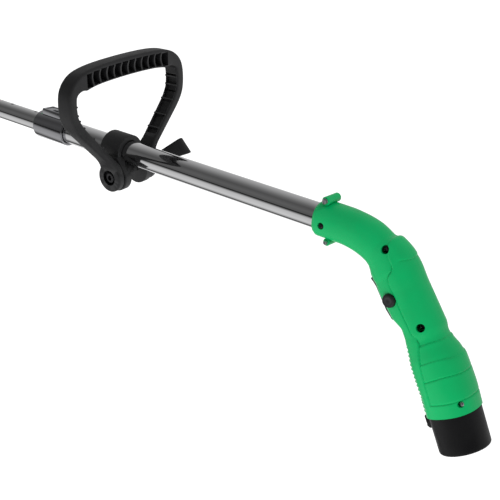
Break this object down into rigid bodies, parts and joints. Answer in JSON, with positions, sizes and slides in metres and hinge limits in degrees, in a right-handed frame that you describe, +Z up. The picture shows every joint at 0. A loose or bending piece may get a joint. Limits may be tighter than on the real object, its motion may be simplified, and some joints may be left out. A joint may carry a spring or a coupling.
{
  "type": "cordless snow shovel",
  "caption": "Long-handled battery snow shovel with a pistol handle, a telescopic tube, an adjustable bail grip and a belt-driven paddle rotor in a scoop head.",
  "frame": {"origin": "on the ground below the rotor's axis, at the middle of the scraper blade's flat underside", "axes": "+Z up, +Y forward in the direction of work, +X to the user's right; the tube rises 45 degrees towards -Y"},
  "size_m": [0.3193, 1.0869, 0.8486],
  "materials": {
    "green_plastic": "satin moulded, bright green",
    "black_plastic": "finely textured, black",
    "chrome": "polished plating",
    "steel": "zinc plated",
    "rotor_plastic": "matt black",
    "copper": "bare metal contact",
    "belt_rubber": "matt black",
    "cell_sleeve": "metal can in a thin blue sleeve",
    "board": "lacquered circuit board"
  },
  "bodies": {
    "head": {"scoop_housing": "green_plastic", "scraper_blade": "steel", "scraper_screw_left": "steel", "scraper_screw_middle": "steel", "scraper_screw_right": "steel", "bearing_left": "steel", "bearing_right": "steel", "bearing_cap": "black_plastic", "drive_belt": "belt_rubber", "belt_cover": "black_plastic", "belt_cover_screw_1": "steel", "belt_cover_screw_2": "steel", "belt_cover_screw_3": "steel", "motor": "steel", "control_board": "board", "motor_cover": "green_plastic", "tube_socket": "black_plastic", "inner_tube": "chrome"},
    "impeller": {"impeller_shaft": "steel", "impeller": "rotor_plastic", "impeller_pulley": "rotor_plastic", "pulley_nut": "steel"},
    "motor_rotor": {"motor_shaft": "steel", "motor_pulley": "steel"},
    "handle": {"handle_shell_left": "green_plastic", "handle_shell_right": "green_plastic", "shell_screw_upper": "steel", "shell_screw_lower": "steel", "shell_screw_end": "steel", "tube_screw": "steel", "mouth_screw_top": "steel", "mouth_screw_bottom": "steel", "trigger_pin": "steel", "trigger_spring": "steel", "switch_body": "black_plastic", "lock_off_spring": "steel", "terminal_block": "black_plastic", "outer_tube": "chrome", "guide_bush": "black_plastic", "lock_collar": "chrome", "rocker_spring": "steel", "coiled_cable": "black_plastic"},
    "rocker": {"lock_rocker": "steel"},
    "clamp": {"loop_clamp": "black_plastic", "loop_bolt": "steel", "loop_washer": "steel"},
    "loop": {"loop_handle": "black_plastic"},
    "wing": {"wing_nut": "black_plastic"},
    "trigger": {"trigger": "black_plastic"},
    "lock_button": {"lock_off_button": "black_plastic"},
    "battery": {"battery_case": "black_plastic", "battery_cap": "black_plastic", "battery_cell_1": "cell_sleeve", "battery_cell_2": "cell_sleeve", "battery_cell_3": "cell_sleeve", "battery_contacts": "copper", "latch_spring": "steel"},
    "latch": {"battery_latch": "black_plastic"}
  },
  "joints": [
    {"name": "impeller_spin", "type": "hinge", "parent": "head", "child": "impeller", "pos_m": [0, 0, 0.082], "axis": [1, 0, 0], "continuous": true},
    {"name": "motor_spin", "type": "hinge", "parent": "head", "child": "motor_rotor", "pos_m": [0, -0.03971, 0.18028], "axis": [1, 0, 0], "continuous": true},
    {"name": "tube_telescope", "type": "slide", "parent": "head", "child": "handle", "axis": [0, 0.7071, -0.7071], "range_m": [0, 0.25]},
    {"name": "rocker_tilt", "type": "hinge", "parent": "handle", "child": "rocker", "pos_m": [0, -0.48259, 0.54164], "axis": [1, 0, 0], "range_deg": [0, 6], "stiffness_Nm_per_rad": 0.5},
    {"name": "clamp_slide", "type": "slide", "parent": "handle", "child": "clamp", "axis": [0, 0.7071, -0.7071], "range_m": [-0.18, 0.05]},
    {"name": "loop_tilt", "type": "hinge", "parent": "clamp", "child": "loop", "pos_m": [0.00192, -0.5891, 0.5931], "axis": [0.9962, 0.0616, 0.0616], "range_deg": [-50, 60]},
    {"name": "wing_turn", "type": "hinge", "parent": "clamp", "child": "wing", "pos_m": [0.00192, -0.5891, 0.5931], "axis": [0.9962, 0.0616, 0.0616], "continuous": true},
    {"name": "trigger_pull", "type": "hinge", "parent": "handle", "child": "trigger", "pos_m": [0, -0.86499, 0.80972], "axis": [1, 0, 0], "range_deg": [0, 5], "stiffness_Nm_per_rad": 0.6},
    {"name": "lock_button_push", "type": "slide", "parent": "handle", "child": "lock_button", "axis": [1, 0, 0], "range_m": [0, 0.0025], "stiffness_N_per_m": 250},
    {"name": "battery_slide", "type": "slide", "parent": "handle", "child": "battery", "axis": [0, -0.9563, -0.2924], "range_m": [0, 0.09]},
    {"name": "latch_push", "type": "slide", "parent": "battery", "child": "latch", "axis": [0, -0.2924, 0.9563], "range_m": [0, 0.002], "stiffness_N_per_m": 300}
  ],
  "couplings": [
    {"joint": "motor_spin", "follows": "impeller_spin", "ratio": 3}
  ]
}
